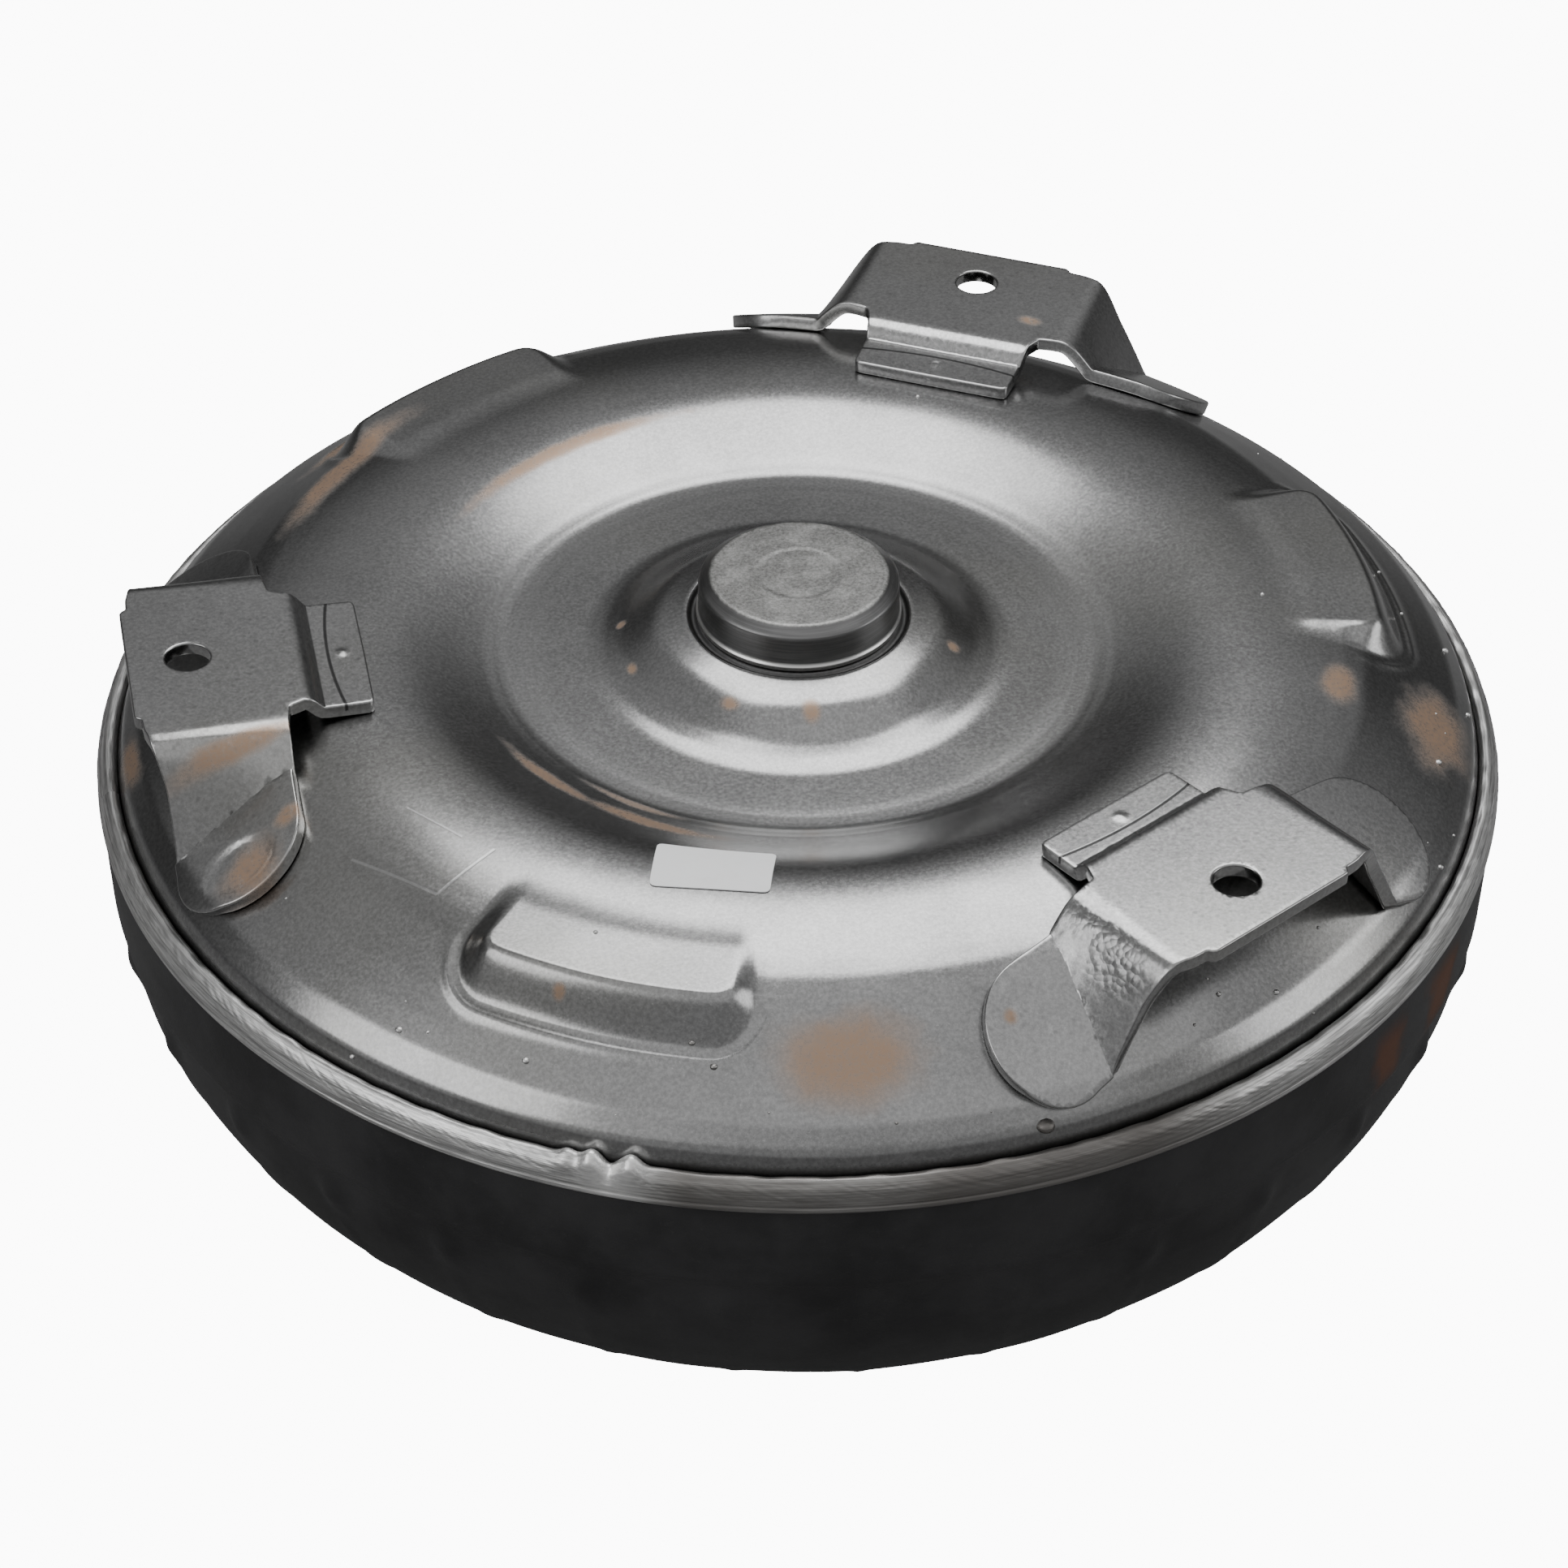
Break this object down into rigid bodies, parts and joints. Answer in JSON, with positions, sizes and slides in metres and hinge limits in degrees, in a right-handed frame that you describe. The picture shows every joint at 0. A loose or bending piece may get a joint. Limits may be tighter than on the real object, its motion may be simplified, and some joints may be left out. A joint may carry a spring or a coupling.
{
  "type": "torque converter",
  "caption": "Closed automotive torque converter with pressed front cover, centre pilot, three drive lugs, domed impeller shell and slotted pump hub.",
  "frame": {"origin": "centre of the pump hub's end face, on the turning axis", "axes": "+Z along the turning axis towards the engine (the pilot's side); +X through the middle of one raised pad, so that a drive lug stands at 180, 300 and 60 degrees from +X"},
  "size_m": [0.306, 0.306, 0.163],
  "materials": {
    "front_cover": "oiled pressed steel, satin dark grey",
    "pilot": "turned steel",
    "drive_lug": "oiled pressed steel",
    "closure_weld": "weld metal",
    "impeller_shell": "black oxide, rough",
    "oiled_steel": "oiled pressed steel",
    "machined_steel": "turned and ground steel",
    "spring_steel": "blued spring steel",
    "cast_aluminium": "as cast",
    "friction_paper": "paper friction lining",
    "nylon": "moulded nylon"
  },
  "bodies": {
    "housing": {"front_cover": "front_cover", "pilot": "pilot", "drive_lug_1": "drive_lug", "drive_lug_2": "drive_lug", "drive_lug_3": "drive_lug", "closure_weld": "closure_weld", "impeller_shell": "impeller_shell", "impeller_blades": "oiled_steel", "pump_hub": "machined_steel", "hub_flange": "machined_steel", "hub_weld": "closure_weld", "front_thrust_bearing": "machined_steel", "rear_thrust_bearing": "machined_steel"},
    "turbine": {"turbine_shell": "oiled_steel", "turbine_blades": "oiled_steel", "turbine_hub": "machined_steel", "hub_rivet_1": "spring_steel", "hub_rivet_2": "spring_steel", "hub_rivet_3": "spring_steel", "hub_rivet_4": "spring_steel", "middle_thrust_bearing": "machined_steel", "piston_seal": "nylon"},
    "damper_hub": {"damper_hub": "oiled_steel"},
    "clutch": {"clutch_piston": "oiled_steel", "friction_lining": "friction_paper", "spring_retainer": "spring_steel", "damper_spring_1": "spring_steel", "damper_spring_2": "spring_steel", "damper_spring_3": "spring_steel", "damper_spring_4": "spring_steel"},
    "stator_race": {"clutch_inner_race": "machined_steel"},
    "stator": {"stator_wheel": "cast_aluminium", "clutch_outer_race": "machined_steel", "stator_rear_cap": "nylon", "stator_front_cap": "nylon", "stator_snap_ring": "spring_steel"},
    "roller_1": {"clutch_roller_1": "machined_steel"},
    "roller_2": {"clutch_roller_2": "machined_steel"},
    "roller_3": {"clutch_roller_3": "machined_steel"},
    "roller_4": {"clutch_roller_4": "machined_steel"},
    "roller_5": {"clutch_roller_5": "machined_steel"},
    "roller_6": {"clutch_roller_6": "machined_steel"}
  },
  "joints": [
    {"name": "turbine_spin", "type": "hinge", "parent": "housing", "child": "turbine", "pos_m": [0, 0, 0.13], "axis": [0, 0, 1], "continuous": true},
    {"name": "lockup_slide", "type": "slide", "parent": "turbine", "child": "damper_hub", "axis": [0, 0, 1], "range_m": [0, 0.001]},
    {"name": "damper_windup", "type": "hinge", "parent": "damper_hub", "child": "clutch", "pos_m": [0, 0, 0.138], "axis": [0, 0, 1], "range_deg": [-6, 6], "stiffness_Nm_per_rad": 60, "deforming": ["damper_spring_1", "damper_spring_2", "damper_spring_3", "damper_spring_4"]},
    {"name": "race_spin", "type": "hinge", "parent": "housing", "child": "stator_race", "pos_m": [0, 0, 0.091], "axis": [0, 0, 1], "continuous": true},
    {"name": "stator_spin", "type": "hinge", "parent": "stator_race", "child": "stator", "pos_m": [0, 0, 0.091], "axis": [0, 0, 1], "continuous": true},
    {"name": "roller_1_spin", "type": "hinge", "parent": "stator", "child": "roller_1", "pos_m": [0.03, 0, 0.091], "axis": [0, 0, 1], "continuous": true},
    {"name": "roller_2_spin", "type": "hinge", "parent": "stator", "child": "roller_2", "pos_m": [0.015, 0.02598, 0.091], "axis": [0, 0, 1], "continuous": true},
    {"name": "roller_3_spin", "type": "hinge", "parent": "stator", "child": "roller_3", "pos_m": [-0.015, 0.02598, 0.091], "axis": [0, 0, 1], "continuous": true},
    {"name": "roller_4_spin", "type": "hinge", "parent": "stator", "child": "roller_4", "pos_m": [-0.03, 0, 0.091], "axis": [0, 0, 1], "continuous": true},
    {"name": "roller_5_spin", "type": "hinge", "parent": "stator", "child": "roller_5", "pos_m": [-0.015, -0.02598, 0.091], "axis": [0, 0, 1], "continuous": true},
    {"name": "roller_6_spin", "type": "hinge", "parent": "stator", "child": "roller_6", "pos_m": [0.015, -0.02598, 0.091], "axis": [0, 0, 1], "continuous": true}
  ],
  "couplings": [
    {"joint": "roller_1_spin", "follows": "stator_spin", "ratio": 7.2222},
    {"joint": "roller_2_spin", "follows": "stator_spin", "ratio": 7.2222},
    {"joint": "roller_3_spin", "follows": "stator_spin", "ratio": 7.2222},
    {"joint": "roller_4_spin", "follows": "stator_spin", "ratio": 7.2222},
    {"joint": "roller_5_spin", "follows": "stator_spin", "ratio": 7.2222},
    {"joint": "roller_6_spin", "follows": "stator_spin", "ratio": 7.2222}
  ]
}
